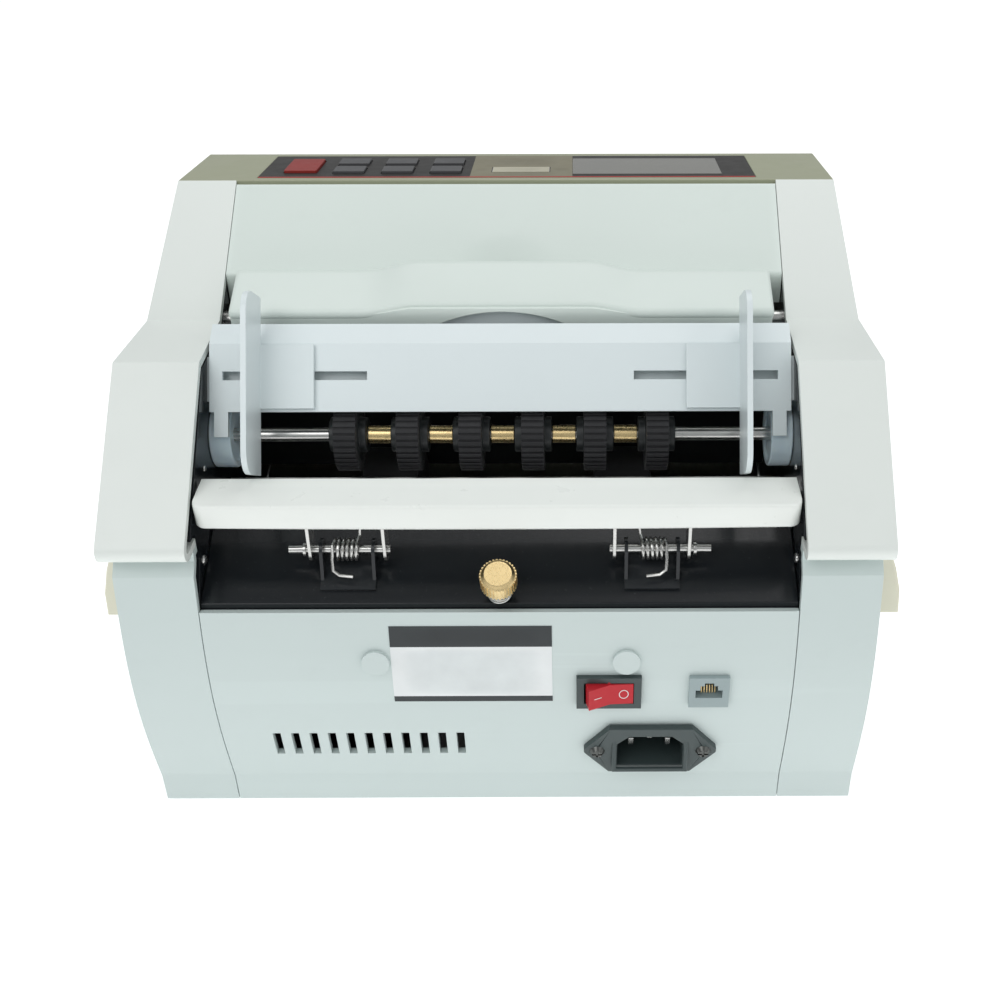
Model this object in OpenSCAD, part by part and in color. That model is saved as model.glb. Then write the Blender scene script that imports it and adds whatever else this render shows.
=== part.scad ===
// Banknote counting machine with a rear hopper, friction feed rollers and a front stacker.
// X runs across the machine, +Y points to the operator's front and +Z is up.
// The origin is at table level under the middle of the machine.
// Profiles are drawn as [distance from the rear wall, height] and extruded across the machine.

/* [Casing] */
// Clear width between the two side frames
inner_w = 212; // [204:1:220]
// Outside width of the side covers at the rear
cover_w = 273.2; // [268:0.2:280]
// Outside width of the side covers under the control panel
panel_w = 257.8; // [252:0.2:262]
// How far the lower side panels stand back from the side covers, on each side
lower_step = 2.3; // [1:0.1:4]
// Thickness of the plastic walls
wall = 2.6; // [2:0.1:3.2]
// Front edge of the base, measured from the rear wall
front_y = 236; // [230:1:245]
// Height of the highest edge of the control panel
top_z = 203.8; // [202:0.2:206]
// Swell of the rear wall between skirting and top edge
wall_swell = 6.3; // [3:0.1:8]

/* [Hopper] */
// Width of the hopper plate
hopper_w = 209.4; // [200:0.2:210]
// Height of the two slots that the note guides slide in
slot_h = 3.2; // [2.8:0.1:3.6]
// Thickness of the hopper plate and the note guides
guide_t = 2; // [1.6:0.1:2.4]
// Distance of each note guide from the middle
guide_x = 86; // [82:0.5:88]

/* [Feed] */
// Diameter of the feed rollers
roller_d = 27; // [24:0.5:28]
// Distance between neighbouring feed rollers
roller_pitch = 22.7; // [20:0.1:24]
// Number of feed rollers
roller_count = 6; // [4:2:6]
// Diameter of the feed shaft
feed_shaft_d = 5; // [4:0.5:6]
// Diameter of the main rollers
main_roller_d = 44; // [40:1:46]
// Diameter of the stacker impellers
impeller_d = 68; // [60:1:72]
// Number of fins on each impeller
fin_count = 10; // [8:1:12]

/* [Ledge] */
// Length of the sprung hopper ledge
ledge_w = 210; // [200:1:210]
// Wire of the two torsion springs
spring_wire = 1.2; // [1:0.1:1.4]
// Turns of each torsion spring
spring_turns = 5; // [4:1:6]

/* [Hidden] */
$fn = 48;

// Rear wall line, measured from the origin
y_rear = -111.8;
inner_x = inner_w / 2;
cover_x = cover_w / 2;
panel_x = panel_w / 2;
// Clearance between neighbouring mouldings
gap = 0.3;
// Radial clearance of every shaft in its bush
fit = 0.04;
// Underside of the casing above the table
floor_z = 1.5;
// Joint between the lower panels and the side covers
split_z = 117.5;
frame_t = 1.5;

// Feed shaft, main shaft, motor and impeller axes
feed_c = [54, 135.7];
main_c = [75, 92];
motor_c = [110, 45];
impeller_c = [163, 72];
main_shaft_d = 8;
motor_shaft_d = 6;
impeller_shaft_d = 6;
shaft_end_x = 120.6;
// Belt planes, from the frame outwards
belt_x = [109.6, 115.4];
belt_w = 4;
// Pulley radii: feed, main, motor and impeller
feed_pulley_r = 9;
main_pulley_r = 12;
motor_pulley_r = 8;
impeller_pulley_r = 14;

// Carry handle pivot
handle_c = [91, 165];
handle_half = 100;
handle_pin_d = 6;

// Hopper ledge pivot and the places along it
ledge_c = [14, 112];
pin_d = 3;
spring_x = 54.5;
bracket_x = [44.2, 62.6];
lug_x = [40, 66.4];
lug_t = 2;

// Hopper face: its lower end and its lean from the vertical
face_c = [45.8, 150];
face_lean = 34.2;
face_len = 24.5;

// Control panel surface
panel_y = [135.2, 185.1];
panel_tilt = 7.3;

// Rear panel fittings, each as [x, z]
inlet_at = [54.7, 32.7];
switch_at = [38.8, 63];
jack_at = [75.2, 63];
plug_at = [45, 76.2];

function arc(c, r, a0, a1, n = 8) =
    [for (i = [0:n]) let (a = a0 + (a1 - a0) * i / n) c + r * [cos(a), sin(a)]];
function unit(v) = v / norm(v);
function left(v) = [-v[1], v[0]];
// Mitred move of corner b, with neighbours a and c, by t to the left of the path
function mitre(a, b, c, t) =
    let (m = left(unit(b - a)), n = left(unit(c - b))) b + t * (m + n) / (1 + m * n);
function inset(p, t) = let (n = len(p))
    [for (i = [0:n - 1]) mitre(p[(i + n - 1) % n], p[i], p[(i + 1) % n], t)];
// Corners of a path moved by t to its left, its ends square
function moved(p, t) = let (n = len(p) - 1)
    [for (i = [0:n]) mitre(i == 0 ? 2 * p[0] - p[1] : p[i - 1], p[i],
        i == n ? 2 * p[n] - p[n - 1] : p[i + 1], t)];
// Outline of a bent sheet of thickness t on the left of a path
function sheet(p, t) = let (n = len(p) - 1, q = moved(p, t))
    concat(p, [for (i = [0:n]) q[n - i]]);
function reversed(p) = [for (i = [len(p) - 1:-1:0]) p[i]];
// Rear wall: upright skirting, then a swelling panel
function wall_y(z) = z < 14 ? 0 : -wall_swell * sin(180 * (z - 14) / 96);
function wall_line(z0, z1) = concat([[wall_y(z0), z0]],
    [for (z = [14:2:112]) if (z > z0 && z < z1) [wall_y(z), z]], [[wall_y(z1), z1]]);
// Outline round two circles, as a belt lies
function belt_line(c, r, d, s) = let (v = d - c, a = atan2(v[1], v[0]), f = acos((r - s) / norm(v)))
    concat(arc(c, r, a + f, a + 360 - f, 24), arc(d, s, a - f, a + f, 24));

module from_rear() translate([0, y_rear, 0]) children();
// Extrudes a profile of [y, z] from x0 to x1
module across(x0, x1) from_rear() translate([x0, 0, 0]) rotate([90, 0, 90])
    linear_extrude(x1 - x0) children();
module axle(c, d, x0, x1) across(x0, x1) translate(c) circle(d = d);
module both_sides() {
    children();
    mirror([1, 0, 0]) children();
}
// Places a child drawn on the hopper face: X across, Y out from the face, Z up the face
module on_face() from_rear() translate([0, face_c[0], face_c[1]])
    rotate([-face_lean, 0, 0]) children();
// Places a child on the control panel: Y forward along it, Z out of it
module on_panel() from_rear() translate([0, panel_y[0], top_z])
    rotate([-panel_tilt, 0, 0]) children();

// Casing ---------------------------------------------------------------------------------

// Side view of the lower body
lower_side = reversed(concat(wall_line(floor_z, 110), [[3.8, 114.1], [4.6, split_z]],
    [[214, split_z], [232, 44]], arc([front_y - 12, 36], 12, 20, 0, 4), [[front_y, floor_z]]));
// Side view of the upper covers: rounded lip, hopper slope, ledge, upper slope
upper_side = reversed(concat(arc([-0.2, split_z + gap + 4.2], 4.2, 270, 130, 8),
    [[48.6, 168.6], [81.4, 169.1], [135, top_z], [135, 191.6], [191.4, 187.4], [214, split_z + gap]]));

// Plan of the casing, wide at the rear and narrower under the control panel
module plan(back) linear_extrude(220) polygon([
    [0, y_rear - 20], [cover_x - back, y_rear - 20], [cover_x - back, y_rear + 48.6],
    [cover_x - 3.4 - back, y_rear + 81.4], [panel_x - back, y_rear + 135],
    [panel_x - back, y_rear + 260], [0, y_rear + 260]]);

// Hollow side moulding, open to the inside and at each window, a [corner, size] in side view
module side_shell(outline, back, windows) difference() {
    intersection() {
        across(inner_x, cover_x) polygon(outline);
        plan(back);
    }
    intersection() {
        across(inner_x - 1, cover_x) {
            polygon(inset(outline, wall));
            for (w = windows) translate(w[0]) square(w[1]);
        }
        plan(back + wall);
    }
}
seam_window = [[9, split_z - 7], [200, 16]];
floor_window = [[3, -1], [front_y - 6, 12]];

base_top = floor_z + 0.5 + frame_t;
module base_plate() color("silver") intersection() {
    across(-cover_x, cover_x) translate([3, floor_z + 0.5]) square([front_y - 7, frame_t]);
    both_sides() plan(lower_step + wall + gap);
}

module rubber_feet() color("dimgray") for (x = [-92, 92], y = [26, 205])
    from_rear() translate([x, y, 0]) cylinder(h = floor_z + 0.5, d = 14);

// Bush sizes: feed, main and impeller shafts, and the motor's boss
feed_bush_d = 9;
main_bush_d = 16;
impeller_bush_d = 12;
motor_boss_d = 22;
module side_frame() across(inner_x, inner_x + frame_t) difference() {
    polygon([[8, base_top], [4, 16], [0, 40], [-1, 60], [-1, 80], [2, 100], [9.8, 111],
        [9.8, 121.6], [3.6, 122.4], [49.9, 165.1], [82.5, 165.6], [128, 194.6], [131, 188],
        [187, 184], [207, 122], [226, 44], [230, 20], [230, base_top]]);
    translate(feed_c) circle(d = feed_bush_d);
    translate(main_c) circle(d = main_bush_d);
    translate(impeller_c) circle(d = impeller_bush_d);
    translate(handle_c) circle(d = handle_pin_d + 2 * fit);
}
module side_frame_left() color([0.08, 0.09, 0.1]) mirror([1, 0, 0]) side_frame();
module side_frame_right() color([0.08, 0.09, 0.1]) difference() {
    side_frame();
    axle(motor_c, motor_boss_d, inner_x - 1, inner_x + frame_t + 1);
}

module lower_side_panel() side_shell(lower_side, lower_step, [seam_window, floor_window]);
module side_cover() side_shell(upper_side, 0, [seam_window]);
module lower_side_panel_left() color([0.8, 0.84, 0.83]) mirror([1, 0, 0]) lower_side_panel();
module lower_side_panel_right() color([0.8, 0.84, 0.83]) lower_side_panel();

module side_cover_left() color([0.88, 0.9, 0.88]) mirror([1, 0, 0]) side_cover();
module side_cover_right() color([0.88, 0.9, 0.88]) side_cover();

// Ivory scoop on the side of the lower body, open below for the fingers
grip_y = [17, 105];
grip_z = [80, 116.4];
module grip_block(out, y0, y1, z0) from_rear() translate([0, y0, 0])
    rotate([90, 0, 0]) mirror([0, 0, 1]) linear_extrude(y1 - y0)
    polygon([[cover_x - lower_step - 10, z0], [147 - out, z0], [146.2 - out, 90],
        [143.6 - out, 100], [140.4 - out, 108.5], [137.6 - out, grip_z[1] - out],
        [cover_x - lower_step - 10, grip_z[1] - out]]);
module lifting_grip() difference() {
    grip_block(0, grip_y[0], grip_y[1], grip_z[0]);
    grip_block(2.2, grip_y[0] + 2.2, grip_y[1] - 2.2, grip_z[0] - 1);
    intersection() {
        across(100, cover_x) square([300, 300]);
        plan(lower_step);
    }
}
module lifting_grip_left() color([0.93, 0.91, 0.83]) mirror([1, 0, 0]) lifting_grip();
module lifting_grip_right() color([0.93, 0.91, 0.83]) lifting_grip();

// Places a child on the rear wall: X across, Y into the machine, Z up the wall
module on_wall(at) from_rear() translate([at[0], wall_y(at[1]), at[1]])
    rotate([atan(wall_swell * cos(180 * (at[1] - 14) / 96) * PI / 96), 0, 0]) children();
// Box on the rear wall, from depth y0 to y1
module wall_block(at, w, h, y0, y1) on_wall(at) translate([-w / 2, y0, -h / 2])
    cube([w, y1 - y0, h]);
// Round bar square to the rear wall, from depth y0 to y1
module wall_pin(at, d, y0, y1) on_wall(at) translate([0, y0, 0]) rotate([-90, 0, 0])
    cylinder(h = y1 - y0, d = d);
vent_count = 11;
vent_x = -85.4;
inlet_body = [31.4, 22.4];
switch_body = [19.4, 11.4];
jack_body = [12.4, 11.4];
plug_d = 8;
screw_d = 3;
plug_places = [for (s = [-1, 1]) [s * plug_at[0], plug_at[1]]];
screw_places = [for (s = [-1, 1]) [inlet_at[0] + 20 * s, inlet_at[1]]];
vent_pitch = 6.88;
module rear_panel() color([0.8, 0.84, 0.83]) difference() {
    across(-inner_x + gap, inner_x - gap)
        polygon(sheet(reversed(wall_line(floor_z, 96.4)), wall));
    wall_block(inlet_at, inlet_body[0] + 0.2, inlet_body[1] + 0.2, -8, 8);
    wall_block(switch_at, switch_body[0] + 0.2, switch_body[1] + 0.2, -8, 8);
    wall_block(jack_at, jack_body[0] + 0.2, jack_body[1] + 0.2, -8, 8);
    for (i = [0:vent_count - 1]) wall_block([vent_x + vent_pitch * i, 34.6], 3, 12.6, -8, 8);
    for (at = plug_places) wall_pin(at, plug_d, -8, 8);
    for (at = screw_places) wall_pin(at, screw_d, -8, 8);
}

// Sloping centre cover with a lip and a shallow finger recess
module top_cover() color([0.86, 0.89, 0.87]) difference() {
    across(-inner_x + gap, inner_x - gap) polygon(sheet(
        [[133.4, top_z - 1], [98.4, 180.1], [98.4, 168]], wall));
    from_rear() translate([0, 98, 180]) rotate([33, 0, 0]) translate([0, 0, -1.2])
        cylinder(h = 5, r = 18);
}

// Control panel: full-width top with a front fascia over the stacker
module control_panel() color([0.7, 0.71, 0.6]) difference() {
    union() {
        across(-panel_x, panel_x) polygon(reversed([[135.2, 192], [135.2, top_z], [185.1, 197.4],
            [190, 195.4], [192, 191.4], [191.6, 187.8]]));
        across(-inner_x + gap, inner_x - gap)
            polygon([[189, 192], [174.6, 122], [177.2, 122], [191.8, 190]]);
    }
    across(-panel_x + wall, panel_x - wall) polygon(reversed([[137.8, 180], [137.8, top_z - 3],
        [184.8, 194.8], [187.6, 193.4], [188.2, 191], [186, 180]]));
    on_panel() translate([-99, 4, -0.8]) cube([198, 42, 5]);
    on_panel() for (k = key_places) key_hole(k);
    on_panel() translate([24, 8, -9]) cube([64, 34, 12]);
}

// Keys as [x, distance along the panel, width, depth]
key_places = concat([[-83.5, 24.5, 13, 23]],
    [for (row = [0, 1], col = [0:2]) [-64 + 19.5 * col, 17 + 15 * row, 12.4, 10]]);
key_gap = 0.35;
module key_hole(k) translate([k[0] - k[2] / 2 - key_gap, k[1] - k[3] / 2 - key_gap, -9])
    cube([k[2] + 2 * key_gap, k[3] + 2 * key_gap, 12]);
module key(i) let (k = key_places[i]) on_panel() {
    translate([k[0] - k[2] / 2, k[1] - k[3] / 2, -4.2]) cube([k[2], k[3], 5.2]);
    translate([k[0] - k[2] / 2 - 1, k[1] - k[3] / 2 - 1, -5.6]) cube([k[2] + 2, k[3] + 2, 1.6]);
}

module keypad_membrane() color([0.15, 0.14, 0.14]) difference() {
    on_panel() translate([-98.8, 4.2, -0.8]) cube([197.6, 41.6, 0.8]);
    on_panel() for (k = key_places) key_hole(k);
    on_panel() translate([26, 10, -2]) cube([60, 30, 4]);
    on_panel() translate([-6.6, 13, -2]) cube([23.6, 10, 4]);
}
module display_windows() color([0.25, 0.24, 0.2]) on_panel() {
    translate([26.1, 10.1, -0.8]) cube([59.8, 29.8, 0.9]);
    translate([-6.5, 13.1, -0.8]) cube([23.4, 9.8, 0.9]);
}

module front_panel() color([0.8, 0.84, 0.83]) across(-inner_x + gap, inner_x - gap)
    polygon(sheet([[front_y, floor_z + 2.2], [front_y, 24], [226, 30], [206, 32]], wall));

slot_half = 9;
module stacker_plate() color("silver") difference() {
    across(-inner_x + gap, inner_x - gap)
        polygon(sheet([[224, 33.4], [197, 37], [171, 120]], 1.2));
    for (s = [-1, 1]) from_rear() translate([s * 32 - slot_half, 150, 41])
        cube([2 * slot_half, 60, 64]);
}

// Hopper ---------------------------------------------------------------------------------

slot_at = 13;
slot_x = [48, 100];
module hopper_plate() color([0.88, 0.91, 0.91]) difference() {
    union() {
        across(-hopper_w / 2, hopper_w / 2)
            polygon(sheet([[67.6, 174.2], [59.6, 170.3], face_c], guide_t));
        both_sides() on_face() translate([hopper_w / 2 - 1.5, guide_t, 4])
            cube([inner_x - hopper_w / 2 + 1.5, 6, 16]);
        both_sides() on_face() translate([98, 0, -9]) cube([5, guide_t, 10]);
    }
    both_sides() on_face() translate([slot_x[0], -1, slot_at - slot_h / 2])
        cube([slot_x[1] - slot_x[0], guide_t + 2, slot_h]);
}

// Side guide: a blade, a face plate and a slider that runs in the slot
blade_depth = 22;
blade_z = [-23, 41];
module note_guide() on_face() {
    translate([guide_x, 0, 0]) rotate([90, 0, 90]) linear_extrude(guide_t)
        polygon(concat([[-0.6, blade_z[1]], [-0.6, blade_z[0]]],
            arc([8 - blade_depth, blade_z[0] + 8], 8, 270, 180, 6),
            arc([8 - blade_depth, blade_z[1] - 8], 8, 180, 90, 6)));
    translate([guide_x - 19.2, -2, 1]) cube([19.4, 1.6, 23]);
    translate([guide_x - 16, -0.8, slot_at - slot_h / 2 + 0.3]) cube([14, 4, slot_h - 0.6]);
    translate([guide_x - 18, guide_t + 0.4, slot_at - 4]) cube([16, 2, 8]);
}
module note_guide_left() color([0.88, 0.91, 0.91]) mirror([1, 0, 0]) note_guide();
module note_guide_right() color([0.88, 0.91, 0.91]) note_guide();

// Carry handle: the middle arches up for the fingers, over arms that turn on the side frames
arch_x = [31, 52];
function arch(x) = abs(x) < arch_x[0] ? 1 : abs(x) > arch_x[1] ? 0 :
    0.5 + 0.5 * cos(180 * (abs(x) - arch_x[0]) / (arch_x[1] - arch_x[0]));
module handle_slice(x0, x1) let (k = arch((x0 + x1) / 2)) across(x0, x1)
    polygon(belt_line([75 + 1.4 * k, 175 + 2.4 * k], 2.6 - 0.4 * k, [92.2, 179.4 + 3.6 * k], 4.6));
// Skirt under the handle's rear edge, cut away in an arc for the fingers
module handle_skirt() intersection() {
    across(-handle_half, handle_half) translate([72.5, 168]) square([2.2, 8]);
    difference() {
        from_rear() translate([-handle_half, 60, 160]) cube([2 * handle_half, 30, 30]);
        from_rear() translate([0, 60, 119.4]) rotate([-90, 0, 0]) cylinder(h = 30, r = 57, $fn = 96);
    }
}
module carry_handle() color([0.86, 0.9, 0.89]) {
    handle_skirt();
    handle_slice(-arch_x[0], arch_x[0]);
    both_sides() {
        for (x = [arch_x[0]:3:arch_x[1] - 3]) handle_slice(x, x + 3);
        handle_slice(arch_x[1], handle_half);
        across(handle_half - 3, handle_half) polygon(belt_line(handle_c, 5, [79, 173], 4));
        axle(handle_c, handle_pin_d, handle_half - 3, inner_x + frame_t + 0.5);
    }
}

// Feed -----------------------------------------------------------------------------------

roller_x = [for (i = [0:roller_count - 1]) (i - (roller_count - 1) / 2) * roller_pitch];
tyre_w = 8.2;
hub_w = 13.6;
hub_d = 19.6;
module pulley(c, r, plane) {
    axle(c, 2 * r, belt_x[plane] - 0.7, belt_x[plane] + belt_w + 0.6);
    axle(c, 2 * r + 4, belt_x[plane] + belt_w + 0.4, belt_x[plane] + belt_w + 1.2);
}
module feed_shaft() color("silver") {
    axle(feed_c, feed_shaft_d, -inner_x - 2.4, shaft_end_x);
    pulley(feed_c, feed_pulley_r, 0);
}
module feed_roller_hubs() color([0.12, 0.12, 0.13]) for (x = roller_x) difference() {
    union() {
        axle(feed_c, hub_d, x - tyre_w / 2, x + tyre_w / 2);
        axle(feed_c, 13, x - hub_w / 2, x + hub_w / 2);
    }
    axle(feed_c, feed_shaft_d, x - hub_w, x + hub_w);
}
rib_count = 36;
module feed_roller_tyres() color([0.1, 0.1, 0.11]) for (x = roller_x)
    across(x - tyre_w / 2, x + tyre_w / 2) translate(feed_c) difference() {
        circle(d = roller_d);
        circle(d = hub_d);
        for (i = [0:rib_count - 1]) rotate(360 * i / rib_count)
            translate([roller_d / 2 - 0.7, -0.45]) square([2, 0.9]);
    }
module feed_shaft_spacers() color([0.78, 0.66, 0.4]) for (i = [0:roller_count - 2]) difference() {
    axle(feed_c, 6.6, roller_x[i] + hub_w / 2 + 0.2, roller_x[i + 1] - hub_w / 2 - 0.2);
    axle(feed_c, feed_shaft_d, roller_x[i], roller_x[i + 1]);
}
module feed_bearings() color([0.7, 0.76, 0.82]) both_sides() difference() {
    union() {
        axle(feed_c, 24, inner_x - 8, inner_x);
        axle(feed_c, feed_bush_d, inner_x - 1, inner_x + frame_t + 0.6);
    }
    axle(feed_c, feed_shaft_d + 2 * fit, inner_x - 9, inner_x + 9);
    axle(feed_c, 19, inner_x - 9, inner_x - 6.8);
}

// Flanged bush for one shaft, in both side frames
module bush(c, bore, d) both_sides() difference() {
    union() {
        axle(c, d + 4, inner_x - 2, inner_x);
        axle(c, d, inner_x - 2, inner_x + frame_t + 0.6);
    }
    axle(c, bore + 2 * fit, inner_x - 3, inner_x + 9);
}
module shaft_bearings() color([0.7, 0.55, 0.3]) {
    bush(main_c, main_shaft_d, main_bush_d);
    bush(impeller_c, impeller_shaft_d, impeller_bush_d);
}

// Springy fingers that keep the notes against each feed roller, on one cross bar
module guide_fingers() color("silver") {
    across(-inner_x + gap, inner_x - gap) translate([37.4, 103]) square([1.6, 9]);
    for (x = roller_x) across(x - 2.6, x + 2.6)
        polygon(sheet([[38.6, 105], [38.6, 118], [43, 122.6]], 1));
}
plate_bend = [[1.6, 89], [1.6, 97.2], [18.4, 105], [31, 111], [36, 122]];
module lower_guide_plate() color([0.08, 0.09, 0.1]) difference() {
    across(-inner_x + gap, inner_x - gap) polygon(sheet(plate_bend, 1.2));
    thumbscrew_place() translate([0, 0, -6]) cylinder(h = 12, d = thumb_shank_d + 2 * fit);
}

module spring_brackets() color([0.08, 0.09, 0.1]) both_sides() {
    for (x = bracket_x) across(x, x + 1.2) difference() {
        union() {
            polygon([[7.5, 101.3], [17.5, 105.9], [18, 112], [10, 112]]);
            translate(ledge_c) circle(d = 8);
        }
        translate(ledge_c) circle(d = pin_d);
    }
    across(bracket_x[0], bracket_x[1] + 1.2)
        polygon(sheet([[5, 100.12], [17.5, 105.93]], 1.2));
}
module pivot_pins() color("silver") both_sides() {
    axle(ledge_c, pin_d, lug_x[0] - 1, 75);
    axle(ledge_c, pin_d + 2, lug_x[1] + lug_t + 0.4, lug_x[1] + lug_t + 1.4);
}

// Bar along the hopper's rear, held up by the torsion springs
module hopper_ledge() color([0.91, 0.92, 0.9]) {
    intersection() {
        across(-ledge_w / 2, ledge_w / 2) polygon([[24.7, 132], [24.7, 134.9], [8.4, 134.9],
            [6.4, 134.2], [5.4, 132.6], [7, 125.5], [9.6, 125.5], [9.2, 131.2]]);
        from_rear() linear_extrude(200) polygon(concat([[-ledge_w / 2, 25]],
            arc([4 - ledge_w / 2, 9], 4, 180, 270, 5), arc([ledge_w / 2 - 4, 9], 4, 270, 360, 5),
            [[ledge_w / 2, 25]]));
    }
    both_sides() for (x = lug_x) across(x, x + lug_t) difference() {
        union() {
            polygon([[9.4, 132], [20, 132], [18, 112], [10, 112]]);
            translate(ledge_c) circle(d = 8);
        }
        translate(ledge_c) circle(d = pin_d + 2 * fit);
    }
}

// Round wire along a path of points, each ring square to the path
module wire(path, d, along, sides = 6) {
    n = len(path);
    ring = [for (i = [0:n - 1])
        let (t = unit(path[min(i + 1, n - 1)] - path[max(i - 1, 0)]),
            u = unit(cross(along, t)), v = cross(t, u))
        for (j = [0:sides - 1]) path[i]
            + d / 2 * (cos(360 * j / sides) * u + sin(360 * j / sides) * v)];
    polyhedron(ring, concat([[for (j = [0:sides - 1]) sides - 1 - j]],
        [for (i = [0:n - 2], j = [0:sides - 1]) let (k = (j + 1) % sides)
            [i * sides + j, i * sides + k, (i + 1) * sides + k, (i + 1) * sides + j]],
        [[for (j = [0:sides - 1]) (n - 1) * sides + j]]));
}
// Turns of a coil round X, starting at x0
function coil_x(c, r, x0, pitch, turns, steps = 12) = [for (i = [0:turns * steps])
    let (a = 90 + 360 * i / steps) [x0 + pitch * i / steps, c[0] + r * cos(a), c[1] + r * sin(a)]];
coil_r = 3.6;
coil_pitch = 1.64;
module torsion_springs() color("silver") both_sides() from_rear() let (
        half = coil_pitch * spring_turns / 2,
        turns = coil_x(ledge_c, coil_r, spring_x - half, coil_pitch, spring_turns))
    wire(concat(turns, [[spring_x + half + 0.2, ledge_c[0] - 7, ledge_c[1] + coil_r]]),
        spring_wire, [1, 0, 0]);

// Knurled screw that sets the feed gap, and the spring that keeps it from turning
thumb_c = [3.5, 99.2];
thumb_tilt = 25;
thumb_shank_d = 4;
module thumbscrew_place() from_rear() translate([0, thumb_c[0], thumb_c[1]])
    rotate([thumb_tilt, 0, 0]) children();
knurl_count = 32;
module gap_thumbscrew() color([0.8, 0.68, 0.42]) thumbscrew_place() {
    translate([0, 0, -9]) cylinder(h = 20, d = thumb_shank_d);
    translate([0, 0, 8.8]) linear_extrude(6) difference() {
        circle(d = 13);
        for (i = [0:knurl_count - 1]) rotate(360 * i / knurl_count)
            translate([6.1, -0.3]) square([1, 0.6]);
    }
    translate([0, 0, 14.8]) cylinder(h = 1.3, d1 = 12, d2 = 9.6);
}
module thumbscrew_spring() color("silver") thumbscrew_place()
    wire([for (i = [0:54]) [4 * cos(30 * i), 4 * sin(30 * i), 1 + 7 * i / 54]], 1, [0, 0, 1]);

// Transport and stacker ------------------------------------------------------------------

module transport_guide() color("silver") across(-inner_x + gap, inner_x - gap)
    polygon(sheet(concat(arc(main_c, 25.6, 125, 285, 24), [[100, 76], [126, 84]]), 1));
module sensor_bar() color([0.12, 0.13, 0.14]) across(-inner_x + gap, inner_x - gap)
    polygon([[104, 92], [118, 92], [118, 113], [113, 118], [104, 118]]);

main_roller_x = 45;
main_roller_w = 22;
module main_shaft() color("silver") {
    axle(main_c, main_shaft_d, -inner_x - 2.4, shaft_end_x);
    for (plane = [0, 1]) pulley(main_c, main_pulley_r, plane);
}
module main_rollers() color([0.1, 0.1, 0.11]) both_sides() difference() {
    axle(main_c, main_roller_d, main_roller_x - main_roller_w / 2, main_roller_x + main_roller_w / 2);
    axle(main_c, main_shaft_d, 0, 80);
}
impeller_x = 32;
impeller_w = 10;
module impeller_shaft() color("silver") {
    axle(impeller_c, impeller_shaft_d, -inner_x - 2.4, shaft_end_x - 4);
    pulley(impeller_c, impeller_pulley_r, 0);
}
module impeller_wheels() color([0.12, 0.12, 0.13]) both_sides()
    across(impeller_x - impeller_w / 2, impeller_x + impeller_w / 2) translate(impeller_c)
        difference() {
            union() {
                circle(d = 26);
                for (i = [0:fin_count - 1]) rotate(360 * i / fin_count) polygon([
                    [9, 3], [9, 6], [20, 7.2], [impeller_d / 2 - 3.6, 13], [impeller_d / 2 - 3, 11],
                    [20, 4.8]]);
            }
            circle(d = impeller_shaft_d);
        }

// Drive and electrics --------------------------------------------------------------------

motor_x = [44, 102];
module drive_motor() color("silver") difference() {
    union() {
        axle(motor_c, 56, motor_x[0], motor_x[1]);
        axle(motor_c, 58, motor_x[1] - 1, inner_x);
        axle(motor_c, motor_boss_d, inner_x - 1, inner_x + frame_t);
        axle(motor_c, 16, motor_x[0] - 5, motor_x[0] + 1);
    }
    axle(motor_c, motor_shaft_d + 2 * fit, 80, inner_x + 9);
}
module motor_pulley() color("silver") {
    axle(motor_c, motor_shaft_d, 82, shaft_end_x);
    for (plane = [0, 1]) pulley(motor_c, motor_pulley_r, plane);
}
belt_t = 1.2;
belt_gap = 0.15;
module belt(c, r, d, s, plane) across(belt_x[plane], belt_x[plane] + belt_w) difference() {
    polygon(belt_line(c, r + belt_gap + belt_t, d, s + belt_gap + belt_t));
    polygon(belt_line(c, r + belt_gap, d, s + belt_gap));
}
module drive_belts() color([0.1, 0.1, 0.11]) {
    belt(feed_c, feed_pulley_r, main_c, main_pulley_r, 0);
    belt(motor_c, motor_pulley_r, main_c, main_pulley_r, 1);
    belt(motor_c, motor_pulley_r, impeller_c, impeller_pulley_r, 0);
}
module transformer() color([0.3, 0.3, 0.32]) from_rear() {
    translate([-98, 40, base_top]) cube([68, 32, 2]);
    translate([-92, 38, base_top + 2]) cube([56, 36, 44]);
    translate([-83, 28, base_top + 10]) cube([38, 56, 28]);
}
board_z = 10;
module main_board() color([0.15, 0.4, 0.25]) from_rear() {
    translate([-100, 92, board_z]) cube([134, 96, 1.6]);
    for (x = [-95, 29], y = [97, 183]) translate([x, y, base_top])
        cylinder(h = board_z - base_top, d = 6);
    for (x = [-84, -66]) translate([x, 112, board_z + 1]) cylinder(h = 22, d = 14);
    translate([-50, 104, board_z + 1]) cube([36, 14, 22]);
    translate([-6, 106, board_z + 1]) cube([14, 26, 12]);
    for (i = [0:2]) translate([-88 + 34 * i, 150, board_z + 1]) cube([24, 12, 5]);
    for (i = [0:3]) translate([-92 + 30 * i, 176, board_z + 1]) cube([16, 7, 9]);
}

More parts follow.
